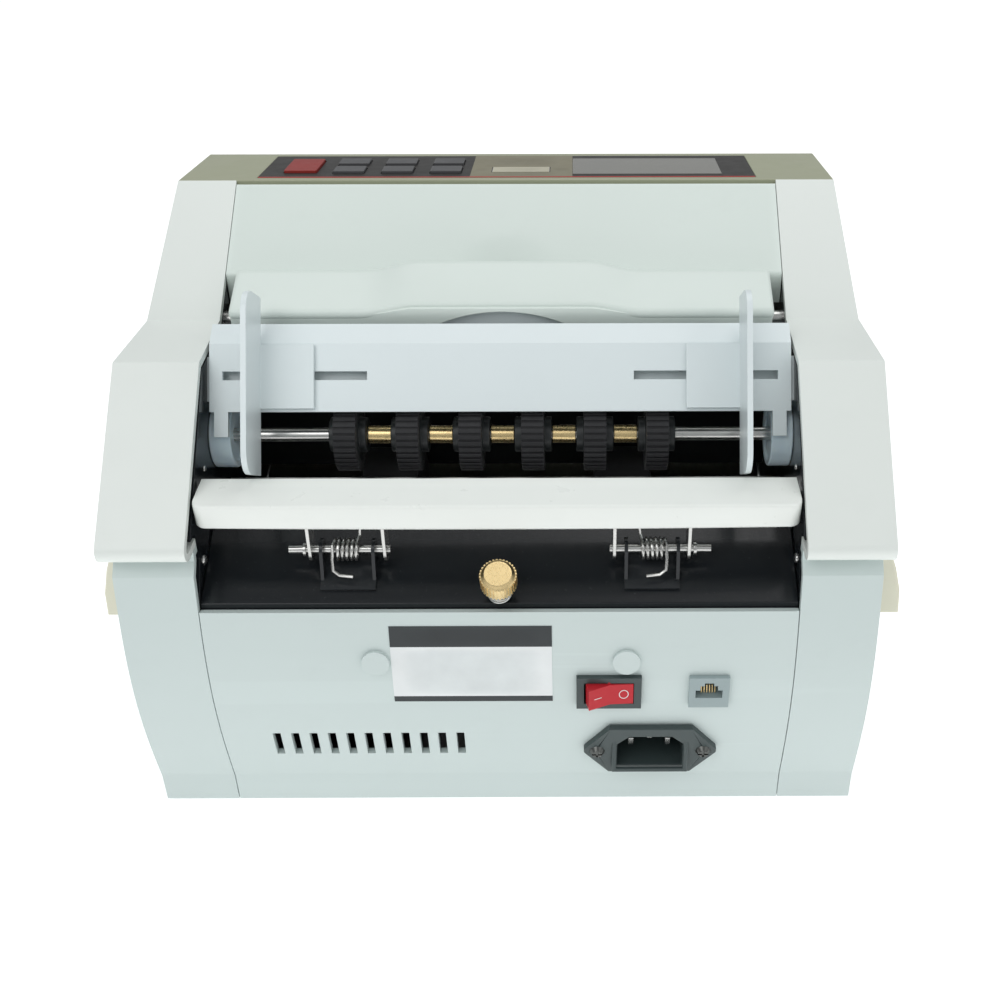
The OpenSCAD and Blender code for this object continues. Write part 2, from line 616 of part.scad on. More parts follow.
// Rocker switch: bezel, body, and a rocker on a pin across it
rocker_tilt = 14;
rocker_pin_d = 2;
rocker_out = 1;
module power_switch_body() color([0.2, 0.22, 0.22]) difference() {
    union() {
        wall_block(switch_at, 23.6, 14.4, -2, 0);
        wall_block(switch_at, switch_body[0], switch_body[1], -1, 15);
        for (x = [-6, 0, 6]) wall_block(switch_at + [x, 0], 0.8, 4.8, 14, 23);
    }
    wall_block(switch_at, 18.2, 9.8, -3, 6);
    on_wall(switch_at) translate([0, -rocker_out, -5.4]) cylinder(h = 10.8, d = rocker_pin_d + 2 * fit);
}
module switch_rocker() color([0.78, 0.2, 0.24]) on_wall(switch_at)
    translate([0, -rocker_out, 0]) rotate([0, 0, rocker_tilt]) {
        translate([0, 0, -4.6]) linear_extrude(9.2)
            polygon([[-8.3, -3.2], [0, -1.6], [8.3, -3.2], [8.3, 1.6], [4, 3.4], [-4, 3.4], [-8.3, 1.6]]);
        translate([0, 0, -5.3]) cylinder(h = 10.6, d = rocker_pin_d);
    }

// Appliance inlet with a screw flange; the recess has two cut corners on top
inlet_depth = 16;
module inlet_plate(y0, y1) on_wall(inlet_at) translate([0, y1, 0]) rotate([90, 0, 0])
    linear_extrude(y1 - y0) polygon([[-25, -0.8], [-15.4, -13.2], [15.4, -13.2], [25, -0.8], [25, 0.8],
        [15.4, 13.2], [-15.4, 13.2], [-25, 0.8]]);
module inlet_recess() on_wall(inlet_at) translate([0, inlet_depth, 0]) rotate([90, 0, 0])
    linear_extrude(inlet_depth + 10) polygon([[-12.4, -8.6], [12.4, -8.6], [12.4, 4], [7.8, 8.6],
        [-7.8, 8.6], [-12.4, 4]]);
module power_inlet() color([0.2, 0.22, 0.22]) difference() {
    union() {
        inlet_plate(-2.6, 0);
        wall_block(inlet_at, inlet_body[0], inlet_body[1], -1, inlet_depth + 2.4);
    }
    inlet_recess();
    for (at = screw_places) screw_place(at) translate([0, 0, -1]) cylinder(h = 16, d = screw_d);
    for (p = pin_places) inlet_pin(p);
}
// Flange screws share the inlet's tilt
module screw_place(at) on_wall(inlet_at) translate([at[0] - inlet_at[0], -2.6, 0])
    rotate([-90, 0, 0]) children();
pin_places = [[-7, -2], [0, 2], [7, -2]];
module inlet_pin(p) on_wall(inlet_at) translate([p[0] - 1, 3.4, p[1] - 2]) cube([2, 24, 4]);
module inlet_pins() color("silver") for (p = pin_places) inlet_pin(p);
module panel_screws() color("silver") for (at = screw_places) screw_place(at) {
    cylinder(h = 9, d = screw_d);
    difference() {
        translate([0, 0, -1.7]) cylinder(h = 1.7, d1 = 3.6, d2 = 5.8);
        for (a = [0, 90]) rotate(a) translate([-2, -0.4, -2.2]) cube([4, 0.8, 1.3]);
    }
}
module display_jack() color([0.68, 0.72, 0.74]) difference() {
    union() {
        wall_block(jack_at, 14.6, 13.8, -1.8, 0);
        wall_block(jack_at, jack_body[0], jack_body[1], -1, 14);
    }
    wall_block(jack_at - [0, 0.6], 9.8, 3.6, -3, 10);
    wall_block(jack_at + [0, 1.9], 6.4, 2.6, -3, 10);
    wall_block(jack_at + [0, 3.6], 3.4, 1.8, -3, 10);
}
module hole_plugs() color([0.85, 0.88, 0.86]) for (at = plug_places) {
    wall_pin(at, 10, -1.4, 0);
    wall_pin(at, plug_d - 0.4, -1, 5);
}

module start_key() color([0.65, 0.18, 0.16]) key(0);
module function_key_1() color([0.3, 0.3, 0.3]) key(1);
module function_key_2() color([0.3, 0.3, 0.3]) key(2);
module function_key_3() color([0.3, 0.3, 0.3]) key(3);
module function_key_4() color([0.3, 0.3, 0.3]) key(4);
module function_key_5() color([0.3, 0.3, 0.3]) key(5);
module function_key_6() color([0.3, 0.3, 0.3]) key(6);

base_plate();
rubber_feet();
side_frame_left();
side_frame_right();
lower_side_panel_left();
lower_side_panel_right();
side_cover_left();
side_cover_right();
lifting_grip_left();
lifting_grip_right();
rear_panel();
top_cover();
control_panel();
keypad_membrane();
display_windows();
front_panel();
stacker_plate();
hopper_plate();
feed_bearings();
shaft_bearings();
guide_fingers();
lower_guide_plate();
spring_brackets();
pivot_pins();
transport_guide();
sensor_bar();
drive_motor();
transformer();
main_board();
power_switch_body();
power_inlet();
inlet_pins();
panel_screws();
display_jack();
hole_plugs();
drive_belts();
carry_handle();
note_guide_left();
note_guide_right();
feed_shaft();
feed_roller_hubs();
feed_roller_tyres();
feed_shaft_spacers();
main_shaft();
main_rollers();
motor_pulley();
impeller_shaft();
impeller_wheels();
hopper_ledge();
torsion_springs();
gap_thumbscrew();
thumbscrew_spring();
switch_rocker();
start_key();
function_key_1();
function_key_2();
function_key_3();
function_key_4();
function_key_5();
function_key_6();
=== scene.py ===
"""Banknote counting machine: the looks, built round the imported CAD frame."""
import math

import bmesh
import bpy
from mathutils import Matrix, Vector


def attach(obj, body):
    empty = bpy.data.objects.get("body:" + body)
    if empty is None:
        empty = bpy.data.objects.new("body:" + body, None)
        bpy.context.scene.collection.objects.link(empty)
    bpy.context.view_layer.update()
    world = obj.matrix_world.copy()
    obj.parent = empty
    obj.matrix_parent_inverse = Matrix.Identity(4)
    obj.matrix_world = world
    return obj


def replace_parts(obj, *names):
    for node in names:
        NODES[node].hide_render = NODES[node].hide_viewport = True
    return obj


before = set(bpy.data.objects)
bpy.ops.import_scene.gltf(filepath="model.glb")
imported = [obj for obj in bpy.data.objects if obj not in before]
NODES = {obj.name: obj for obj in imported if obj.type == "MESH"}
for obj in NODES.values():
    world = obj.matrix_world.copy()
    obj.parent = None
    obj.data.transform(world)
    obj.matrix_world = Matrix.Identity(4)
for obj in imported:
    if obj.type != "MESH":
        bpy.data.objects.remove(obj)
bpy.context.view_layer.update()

MM = 0.001
REAR = -0.1118  # Y of the rear wall line


def at(x, y, z):
    """A place given in mm: X from the middle, Y from the rear wall, Z from the table."""
    return Vector((x * MM, REAR + y * MM, z * MM))


# Camera, light and floor ------------------------------------------------------------------

def make_camera():
    data = bpy.data.cameras.new("camera")
    camera = bpy.data.objects.new("camera", data)
    bpy.context.scene.collection.objects.link(camera)
    data.lens = 46.9
    data.sensor_width = 36
    data.shift_x = -0.0815
    data.shift_y = 0.018
    data.clip_start = 0.01
    camera.location = at(26.9, -363.9, 381.5)
    camera.rotation_euler = (math.radians(90 - 34.16), 0, math.radians(-0.31))
    bpy.context.scene.camera = camera


def area_light(name, place, aim, size, power, colour=(1, 1, 1)):
    data = bpy.data.lights.new(name, "AREA")
    data.shape = "RECTANGLE"
    data.size, data.size_y = size
    data.energy = power
    data.color = colour
    light = bpy.data.objects.new(name, data)
    light.location = place
    light.rotation_euler = (Vector(aim) - Vector(place)).to_track_quat("-Z", "Y").to_euler()
    bpy.context.scene.collection.objects.link(light)


def make_stage():
    mesh = bpy.data.meshes.new("floor")
    bm = bmesh.new()
    bmesh.ops.create_grid(bm, x_segments=2, y_segments=2, size=4)
    bm.to_mesh(mesh)
    bm.free()
    floor = bpy.data.objects.new("floor", mesh)
    bpy.context.scene.collection.objects.link(floor)
    paint = plain_material("floor_paint", (0.95, 0.95, 0.95), 0.7)
    paint.node_tree.nodes["Principled BSDF"].inputs["Emission Color"].default_value = (1, 1, 1, 1)
    paint.node_tree.nodes["Principled BSDF"].inputs["Emission Strength"].default_value = 0.5
    mesh.materials.append(paint)
    bpy.context.scene.view_settings.view_transform = "Standard"
    world = bpy.data.worlds.new("world")
    bpy.context.scene.world = world
    world.use_nodes = True
    world.node_tree.nodes["Background"].inputs[0].default_value = (0.95, 0.98, 1, 1)
    world.node_tree.nodes["Background"].inputs[1].default_value = 0.42
    area_light("key", (-0.7, -1.0, 1.5), (0, 0, 0.1), (1.2, 1.0), 8.5)
    area_light("fill", (1.1, -0.7, 0.9), (0, 0, 0.1), (1.0, 1.0), 2.6)
    area_light("top", (0.1, 0.5, 1.6), (0, 0, 0.1), (1.4, 1.0), 8)


# Materials --------------------------------------------------------------------------------

def plain_material(name, colour, rough):
    m = bpy.data.materials.new(name)
    m.use_nodes = True
    shader = m.node_tree.nodes["Principled BSDF"]
    shader.inputs["Base Color"].default_value = (*colour, 1)
    shader.inputs["Roughness"].default_value = rough
    return m


class Nodes:
    """Short calls for building a material's node tree."""

    def __init__(self, name):
        self.material = bpy.data.materials.new(name)
        self.material.use_nodes = True
        self.tree = self.material.node_tree
        self.shader = self.tree.nodes["Principled BSDF"]
        self.coord = self.tree.nodes.new("ShaderNodeTexCoord").outputs["Object"]

    def link(self, a, b):
        self.tree.links.new(a, b)

    def fixed(self, **values):
        for key, value in values.items():
            self.shader.inputs[key.replace("_", " ")].default_value = value

    def mapped(self, scale):
        node = self.tree.nodes.new("ShaderNodeMapping")
        node.inputs["Scale"].default_value = scale
        self.link(self.coord, node.inputs["Vector"])
        return node.outputs["Vector"]

    def noise(self, scale, detail=4, stretch=(1, 1, 1), rough=0.55):
        node = self.tree.nodes.new("ShaderNodeTexNoise")
        node.inputs["Scale"].default_value = scale
        node.inputs["Detail"].default_value = detail
        node.inputs["Roughness"].default_value = rough
        self.link(self.mapped(stretch), node.inputs["Vector"])
        return node.outputs["Fac"]

    def ramp(self, fac, stops):
        node = self.tree.nodes.new("ShaderNodeValToRGB")
        ramp = node.color_ramp
        while len(ramp.elements) < len(stops):
            ramp.elements.new(0.5)
        for element, (place, value) in zip(ramp.elements, stops):
            element.position = place
            element.color = value if len(value) == 4 else (*value, 1)
        self.link(fac, node.inputs["Fac"])
        return node.outputs["Color"]

    def mix(self, fac, a, b):
        node = self.tree.nodes.new("ShaderNodeMix")
        node.data_type = "RGBA"
        for value, socket in ((fac, node.inputs[0]), (a, node.inputs[6]), (b, node.inputs[7])):
            if isinstance(value, bpy.types.NodeSocket):
                self.link(value, socket)
            else:
                socket.default_value = value if isinstance(value, float) else (*value, 1)
        return node.outputs[2]

    def math(self, operation, a, b):
        node = self.tree.nodes.new("ShaderNodeMath")
        node.operation = operation
        for value, socket in ((a, node.inputs[0]), (b, node.inputs[1])):
            if isinstance(value, bpy.types.NodeSocket):
                self.link(value, socket)
            else:
                socket.default_value = value
        return node.outputs[0]

    def span(self, fac, low, high):
        node = self.tree.nodes.new("ShaderNodeMapRange")
        node.inputs["To Min"].default_value = low
        node.inputs["To Max"].default_value = high
        self.link(fac, node.inputs["Value"])
        return node.outputs[0]

    def bump(self, height, strength, distance=0.0002, over=None):
        node = self.tree.nodes.new("ShaderNodeBump")
        node.inputs["Strength"].default_value = strength
        node.inputs["Distance"].default_value = distance
        self.link(height, node.inputs["Height"])
        if over is not None:
            self.link(over, node.inputs["Normal"])
        return node.outputs["Normal"]

    def edge(self):
        """1 on worn convex edges, 0 on flats and in corners."""
        point = self.tree.nodes.new("ShaderNodeNewGeometry").outputs["Pointiness"]
        return self.ramp(point, [(0.5, (0, 0, 0)), (0.56, (1, 1, 1))])

    def out(self, colour=None, rough=None, normal=None):
        if colour is not None:
            self.link(colour, self.shader.inputs["Base Color"])
        if rough is not None:
            self.link(rough, self.shader.inputs["Roughness"])
        if normal is not None:
            self.link(normal, self.shader.inputs["Normal"])
        return self.material


def lighter(colour, k):
    return tuple(min(1, c * k) for c in colour)


def moulded(name, colour, rough=0.34, grain=0.05, coat=0.0, ior=1.5):
    """Injection-moulded plastic: slow colour drift, handling marks, fine texture, pale edges."""
    n = Nodes(name)
    drift = n.noise(9, 3)
    tone = n.mix(drift, lighter(colour, 0.965), lighter(colour, 1.03))
    smudge = n.ramp(n.noise(55, 6, (1, 1, 1.6), 0.7), [(0.56, (0, 0, 0)), (0.8, (1, 1, 1))])
    tone = n.mix(n.math("MULTIPLY", smudge, 0.18), tone, lighter(colour, 0.86))
    tone = n.mix(n.math("MULTIPLY", n.edge(), 0.3), tone, lighter(colour, 1.12))
    fine = n.noise(2600, 2)
    normal = n.bump(fine, grain, 0.00008)
    normal = n.bump(n.noise(24, 3), 0.05, 0.0006, normal)
    n.fixed(IOR=ior, Coat_Weight=coat, Coat_Roughness=0.12)
    return n.out(tone, n.span(n.noise(120, 5), rough - 0.06, rough + 0.1), normal)


def black_paint(name, colour=(0.006, 0.008, 0.01), rough=0.16):
    """Glossy stoved paint on steel sheet: orange peel, dust and fine wipe marks."""
    n = Nodes(name)
    dust = n.ramp(n.noise(700, 5, (1, 1, 1), 0.75), [(0.62, (0, 0, 0)), (0.76, (1, 1, 1))])
    tone = n.mix(n.math("MULTIPLY", dust, 0.3), colour, (0.09, 0.1, 0.1))
    tone = n.mix(n.math("MULTIPLY", n.edge(), 0.12), tone, (0.12, 0.13, 0.14))
    peel = n.bump(n.noise(420, 3), 0.09, 0.0001)
    wipe = n.noise(60, 5, (8, 1, 1))
    n.fixed(IOR=1.38, Coat_Weight=0.12, Coat_Roughness=0.08)
    return n.out(tone, n.span(wipe, rough - 0.05, rough + 0.14), peel)


def metal(name, colour, rough=0.25, lines=(1, 60, 60), tarnish=(0.3, 0.29, 0.27), amount=0.25):
    """Turned or drawn metal, brushed along one direction, with spots of tarnish."""
    n = Nodes(name)
    brush = n.noise(40, 4, lines)
    tone = n.mix(brush, lighter(colour, 0.82), lighter(colour, 1.1))
    spots = n.ramp(n.noise(260, 6, (1, 1, 1), 0.7), [(0.55, (0, 0, 0)), (0.78, (1, 1, 1))])
    tone = n.mix(n.math("MULTIPLY", spots, amount), tone, tarnish)
    n.fixed(Metallic=1.0)
    return n.out(tone, n.span(brush, rough - 0.08, rough + 0.14), n.bump(brush, 0.12, 0.00005))


def rubber(name, colour=(0.014, 0.014, 0.016)):
    n = Nodes(name)
    dust = n.ramp(n.noise(340, 6, (1, 1, 1), 0.7), [(0.48, (0, 0, 0)), (0.8, (1, 1, 1))])
    tone = n.mix(n.math("MULTIPLY", dust, 0.16), colour, (0.06, 0.062, 0.06))
    tone = n.mix(n.math("MULTIPLY", n.edge(), 0.25), tone, (0.045, 0.047, 0.05))
    n.fixed(IOR=1.4, Sheen_Weight=0.05, Sheen_Roughness=0.5)
    return n.out(tone, n.span(n.noise(200, 4), 0.42, 0.66), n.bump(n.noise(1500, 3), 0.25, 0.0001))


def nylon(name, colour=(0.68, 0.82, 0.92)):
    n = Nodes(name)
    tone = n.mix(n.noise(90, 4), lighter(colour, 0.85), lighter(colour, 1.15))
    n.fixed(IOR=1.53, Subsurface_Weight=0.25, Subsurface_Scale=0.004)
    n.shader.inputs["Subsurface Radius"].default_value = (0.6, 0.8, 1.0)
    return n.out(tone, n.span(n.noise(160, 3), 0.22, 0.42), n.bump(n.noise(600, 3), 0.08, 0.0001))


def smoked_window(name, colour=(0.11, 0.1, 0.07)):
    n = Nodes(name)
    haze = n.noise(35, 4, (1, 3, 1))
    tone = n.mix(haze, lighter(colour, 0.75), lighter(colour, 1.35))
    n.fixed(IOR=1.49, Coat_Weight=0.8, Coat_Roughness=0.05)
    return n.out(tone, n.span(haze, 0.1, 0.24), n.bump(n.noise(30, 2), 0.03, 0.0004))


def printed_film(name, colour, rough=0.42):
    n = Nodes(name)
    tone = n.mix(n.noise(60, 4), lighter(colour, 0.85), lighter(colour, 1.2))
    tone = n.mix(n.math("MULTIPLY", n.edge(), 0.3), tone, lighter(colour, 1.6))
    n.fixed(IOR=1.36)
    return n.out(tone, n.span(n.noise(180, 4), rough - 0.08, rough + 0.1),
                 n.bump(n.noise(1800, 2), 0.12, 0.00008))


def circuit_board(name):
    n = Nodes(name)
    tracks = n.tree.nodes.new("ShaderNodeTexBrick")
    n.link(n.mapped((60, 60, 60)), tracks.inputs["Vector"])
    tone = n.mix(tracks.outputs["Fac"], (0.02, 0.13, 0.06), (0.04, 0.22, 0.11))
    spots = n.ramp(n.noise(500, 2), [(0.62, (0, 0, 0)), (0.66, (1, 1, 1))])
    tone = n.mix(n.math("MULTIPLY", spots, 0.5), tone, (0.5, 0.45, 0.3))
    return n.out(tone, n.span(spots, 0.3, 0.5), n.bump(tracks.outputs["Fac"], 0.2, 0.0001))


MATERIALS = {
    "shell": moulded("shell_abs", (0.70, 0.775, 0.73), 0.36),
    "cover": moulded("cover_abs", (0.76, 0.8, 0.765), 0.36),
    "lower_shell": moulded("lower_abs", (0.585, 0.665, 0.65), 0.38),
    "panel_frame": moulded("panel_abs", (0.36, 0.375, 0.26), 0.42, 0.12),
    "hopper_white": moulded("hopper_abs", (0.72, 0.79, 0.8), 0.3),
    "ledge_white": moulded("ledge_abs", (0.86, 0.89, 0.85), 0.28, 0.03),
    # The grips are the shell's own plastic; their warmer, yellower tone is painted warm light on
    # faces turned sideways and down.
    "grip_ivory": moulded("grip_abs_warm_light", (0.74, 0.72, 0.58), 0.34),
    "black_frame": black_paint("frame_paint"),
    "steel": metal("drawn_steel", (0.62, 0.62, 0.6), 0.24),
    "zinc": metal("zinc_plate", (0.55, 0.56, 0.55), 0.36, (20, 20, 1)),
    "zinc_dark": metal("blackened_screw", (0.12, 0.125, 0.12), 0.3, (20, 20, 1)),
    "brass": metal("turned_brass", (0.86, 0.66, 0.34), 0.26, (60, 1, 60), (0.28, 0.2, 0.1), 0.35),
    "rubber": rubber("black_rubber"),
    "black_plastic": moulded("black_nylon", (0.022, 0.026, 0.027), 0.4, 0.12),
    "bezel": moulded("bezel_plastic", (0.04, 0.058, 0.058), 0.42, 0.1),
    "nylon": nylon("bearing_nylon"),
    "grey_plastic": moulded("grey_plastic", (0.3, 0.37, 0.375), 0.4, 0.1),
    "key_grey": printed_film("key_grey", (0.075, 0.075, 0.078)),
    "key_red": printed_film("key_red", (0.26, 0.025, 0.02)),
    "membrane": printed_film("membrane_film", (0.02, 0.018, 0.016)),
    "grey_print": printed_film("grey_print", (0.19, 0.175, 0.12)),
    "pale_print": printed_film("pale_print", (0.42, 0.4, 0.31)),
    "red_line": printed_film("red_line", (0.45, 0.04, 0.035)),
    "window": smoked_window("smoked_window"),
    "red_plastic": moulded("rocker_red", (0.5, 0.02, 0.03), 0.3, 0.03, 0.0, 1.34),
    "white_print": printed_film("white_print", (0.75, 0.74, 0.72)),
    "label_paper": printed_film("label_paper", (0.68, 0.72, 0.72), 0.34),
    "label_dark": printed_film("label_dark", (0.035, 0.04, 0.042), 0.3),
    "board": circuit_board("solder_mask"),
}


# CAD nodes --------------------------------------------------------------------------------

def dress(name, material, bevel=0.0, segments=3):
    """Gives a CAD node its material and, where its edges are moulded, a small round."""
    node = NODES[name]
    node.data.materials.clear()
    node.data.materials.append(MATERIALS[material])
    if bevel:
        weld = node.modifiers.new("weld", "WELD")
        weld.merge_threshold = 0.00001
        round_off = node.modifiers.new("round", "BEVEL")
        round_off.width = bevel * MM
        round_off.segments = segments
        round_off.limit_method = "ANGLE"
        round_off.angle_limit = math.radians(28)
        round_off.harden_normals = False
        round_off.use_clamp_overlap = True
    smooth(node)


def smooth(obj, angle=28):
    for polygon in obj.data.polygons:
        polygon.use_smooth = True
    normals = obj.modifiers.new("normals", "WEIGHTED_NORMAL")
    normals.keep_sharp = True


DRESS = [
    ("side_cover_left", "cover", 1.6), ("side_cover_right", "cover", 1.6),
    ("lower_side_panel_left", "lower_shell", 1.0), ("lower_side_panel_right", "lower_shell", 1.0),
    ("rear_panel", "lower_shell", 0.25), ("front_panel", "lower_shell", 0.8),
    ("control_panel", "panel_frame", 1.2),
    ("lifting_grip_left", "grip_ivory", 1.2), ("lifting_grip_right", "grip_ivory", 1.2),
    ("hopper_plate", "hopper_white", 0.5), ("note_guide_left", "hopper_white", 0.4),
    ("note_guide_right", "hopper_white", 0.4), ("hole_plugs", "lower_shell", 0.6),
    ("side_frame_left", "black_frame", 0.2), ("side_frame_right", "black_frame", 0.2),
    ("lower_guide_plate", "black_frame", 0.3), ("spring_brackets", "black_frame", 0.25),
    ("base_plate", "zinc", 0.2), ("stacker_plate", "zinc", 0.3), ("transport_guide", "zinc", 0.2),
    ("guide_fingers", "steel", 0.25), ("feed_shaft", "steel", 0.3), ("main_shaft", "steel", 0.3),
    ("impeller_shaft", "steel", 0.3), ("pivot_pins", "steel", 0.25), ("inlet_pins", "steel", 0.3),
    ("panel_screws", "zinc_dark", 0.15), ("drive_motor", "zinc", 0.6),
    ("motor_pulley", "steel", 0.2),
    ("feed_shaft_spacers", "brass", 0.3), ("gap_thumbscrew", "brass", 0.15),
    ("shaft_bearings", "brass", 0.3), ("rubber_feet", "rubber", 0.4),
    ("feed_roller_tyres", "rubber", 0.15), ("main_rollers", "rubber", 0.6),
    ("impeller_wheels", "rubber", 0.3), ("drive_belts", "rubber", 0.2),
    ("feed_roller_hubs", "black_plastic", 0.4), ("sensor_bar", "black_plastic", 0.5),
    ("power_switch_body", "bezel", 0.4), ("power_inlet", "bezel", 0.4),
    ("transformer", "black_plastic", 0.6), ("feed_bearings", "nylon", 0.6),
    ("display_jack", "grey_plastic", 0.25), ("keypad_membrane", "membrane", 0.0),
    ("display_windows", "window", 0.0), ("switch_rocker", "red_plastic", 0.5),
    ("start_key", "key_red", 0.5), ("main_board", "board", 0.3),
] + [(f"function_key_{i}", "key_grey", 0.5) for i in range(1, 7)]


def dress_nodes():
    for name, material, bevel in DRESS:
        dress(name, material, bevel)


# Shapes -----------------------------------------------------------------------------------

def piece(name, verts, faces, material, body, slot, bevel=0.0, angle=32):
    """A closed mesh in mm in the frame's own axes, riding on a body."""
    mesh = bpy.data.meshes.new(name)
    bm = bmesh.new()
    points = [bm.verts.new(at(*v)) for v in verts]
    for face in faces:
        bm.faces.new([points[i] for i in face])
    bmesh.ops.recalc_face_normals(bm, faces=bm.faces)
    bm.to_mesh(mesh)
    bm.free()
    obj = bpy.data.objects.new(name, mesh)
    bpy.context.scene.collection.objects.link(obj)
    mesh.materials.append(MATERIALS[material])
    for polygon in mesh.polygons:
        polygon.use_smooth = True
    mesh.set_sharp_from_angle(angle=math.radians(angle))
    if bevel:
        round_off = obj.modifiers.new("round", "BEVEL")
        round_off.width = bevel * MM
        round_off.segments = 3
        round_off.limit_method = "ANGLE"
        round_off.angle_limit = math.radians(30)
    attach(obj, body)
    return obj


def loft(rings):
    """Joins rings of the same length into one closed skin with flat ends."""
    n = len(rings[0])
    verts = [v for ring in rings for v in ring]
    faces = [(i * n + j, i * n + (j + 1) % n, (i + 1) * n + (j + 1) % n, (i + 1) * n + j)
             for i in range(len(rings) - 1) for j in range(n)]
    last = (len(rings) - 1) * n
    return verts, faces + [tuple(range(n))[::-1], tuple(range(last, last + n))]


def joined(*shapes):
    verts, faces = [], []
    for shape_verts, shape_faces in shapes:
        base = len(verts)
        verts += shape_verts
        faces += [tuple(base + i for i in face) for face in shape_faces]
    return verts, faces


def mirrored(shape):
    return [(-x, y, z) for x, y, z in shape[0]], shape[1]


def prism(outline, x0, x1):
    """Extrudes an outline of [y, z] from x0 to x1."""
    return loft([[(x, y, z) for y, z in outline] for x in (x0, x1)])


def arc(centre, radius, start, end, count=12):
    return [(centre[0] + radius * math.cos(math.radians(start + (end - start) * i / count)),
             centre[1] + radius * math.sin(math.radians(start + (end - start) * i / count)))
            for i in range(count + 1)]


def belt(c, r, d, s, count=14):
    """Outline round two circles, as a belt lies."""
    a = math.degrees(math.atan2(d[1] - c[1], d[0] - c[0]))
    f = math.degrees(math.acos((r - s) / math.dist(c, d)))
    return arc(c, r, a + f, a + 360 - f, count) + arc(d, s, a - f, a + f, count)


def tube(path, radius, sides=10):
    """Round wire along a path, its rings turned as little as they can be."""
    points = [Vector(p) for p in path]
    rings, across = [], None
    for i, point in enumerate(points):
        along = (points[min(i + 1, len(points) - 1)] - points[max(i - 1, 0)]).normalized()
        if across is None:
            across = along.orthogonal()
        across = (across - along * across.dot(along)).normalized()
        up = along.cross(across)
        rings.append([tuple(point + radius * (math.cos(t) * across + math.sin(t) * up))
                      for t in (2 * math.pi * j / sides for j in range(sides))])
    return loft(rings)


def slab(place, xs, ts, thickness):
    """A thin plate over a grid: place(x, t, height) gives each corner."""
    rows = [[[place(x, t, h) for x in xs] for t in ts] for h in (0, thickness)]
    nx, nt = len(xs), len(ts)
    verts = [v for side in rows for row in side for v in row]
    top = nx * nt
    faces = []
    for i in range(nt - 1):
        for j in range(nx - 1):
            a = i * nx + j
            faces += [(a, a + 1, a + nx + 1, a + nx),
                      (top + a, top + a + nx, top + a + nx + 1, top + a + 1)]
    rim = ([j for j in range(nx)] + [i * nx + nx - 1 for i in range(1, nt)]
           + [(nt - 1) * nx + j for j in range(nx - 2, -1, -1)]
           + [i * nx for i in range(nt - 2, 0, -1)])
    for a, b in zip(rim, rim[1:] + rim[:1]):
        faces.append((a, top + a, top + b, b))
    return verts, faces


def steps(low, high, count):
    return [low + (high - low) * i / count for i in range(count + 1)]


SKIRTING_TOP = 14  # height where the rear wall starts to swell
WALL_HEIGHT = 96
WALL_SWELL = 6.3
PANEL_EDGE = (135.2, 203.8)  # rear edge of the control panel, [y, z]
PANEL_TILT = math.radians(7.3)
FACE_FOOT = (45.8, 150)  # lower edge of the hopper face, [y, z]
FACE_LEAN = math.radians(34.2)


def wall_y(z):
    """Rear wall line: 0 at the skirting, swelling to the rear above it."""
    if z <= SKIRTING_TOP:
        return 0.0
    return -WALL_SWELL * math.sin(math.pi * (z - SKIRTING_TOP) / WALL_HEIGHT)


def on_wall(x, z, out):
    return x, wall_y(z) - out, z


def on_panel(x, along, up):
    """A place on the control panel, which slopes down to the front."""
    y, z = PANEL_EDGE
    return (x, y + along * math.cos(PANEL_TILT) + up * math.sin(PANEL_TILT),
            z - along * math.sin(PANEL_TILT) + up * math.cos(PANEL_TILT))


def on_face(x, into, up):
    """A place on the hopper face, which leans forward, or behind it, into the machine."""
    y, z = FACE_FOOT
    return (x, y + into * math.cos(FACE_LEAN) + up * math.sin(FACE_LEAN),
            z - into * math.sin(FACE_LEAN) + up * math.cos(FACE_LEAN))


def end_stations(half, radius, angles, middle):
    """Places along X: those given for the middle, then closing up round each end's curve."""
    tips = [half - radius + radius * math.sin(math.radians(angle)) for angle in angles]
    return [-x for x in reversed(tips)] + middle + tips


# Ledge and springs ------------------------------------------------------------------------

LEDGE = (14, 112)  # pivot of the hopper ledge, [y, z]
LEDGE_HALF = 105
LEDGE_END = 4  # radius of the bar's ends, seen from above
LEDGE_FLAT = 98
LEDGE_INNER, LEDGE_TOP, LEDGE_UNDER = 24.7, 134.9, 132
LUGS = (40, 66.4)
LUG_THICK = 1.2
SPRING_X = 54.5
COIL_R, COIL_PITCH, TURNS = 3.6, 1.64, 5
WIRE = 0.6
SCREW_FOOT = (3.5, 99.2)  # where the gap thumbscrew stands, [y, z]
SCREW_TILT = math.radians(25)
GAP_COIL_R, GAP_TURNS, GAP_LIFT, GAP_HEIGHT, GAP_WIRE = 4, 4.4, 1, 7, 0.5


def ledge_section(x):
    """The bar's section: its outer edge bows in towards the ends, which are round."""
    reach = max(0.0, abs(x) - (LEDGE_HALF - LEDGE_END))
    inset = LEDGE_END - math.sqrt(max(0.0, LEDGE_END ** 2 - reach ** 2))
    bow = (x / LEDGE_HALF) ** 2
    edge = 5.4 + inset + 1.1 * bow
    crest = edge + 2.3 - 0.9 * bow
    nose = [(crest + 0.9, 134.8)] + arc((crest, 133.6), 1.2, 75, 165, 6)
    lip = [(edge + 0.5, 126.2), (edge + 1.1, 125.5), (edge + 3.4, 125.6), (edge + 3.8, 130),
           (edge + 5.6, LEDGE_UNDER)]
    outline = ([(LEDGE_INNER, LEDGE_TOP), (17, LEDGE_TOP)] + nose + lip
               + [(LEDGE_INNER, LEDGE_UNDER)])
    return [(x, min(y, LEDGE_INNER), z) for y, z in outline]


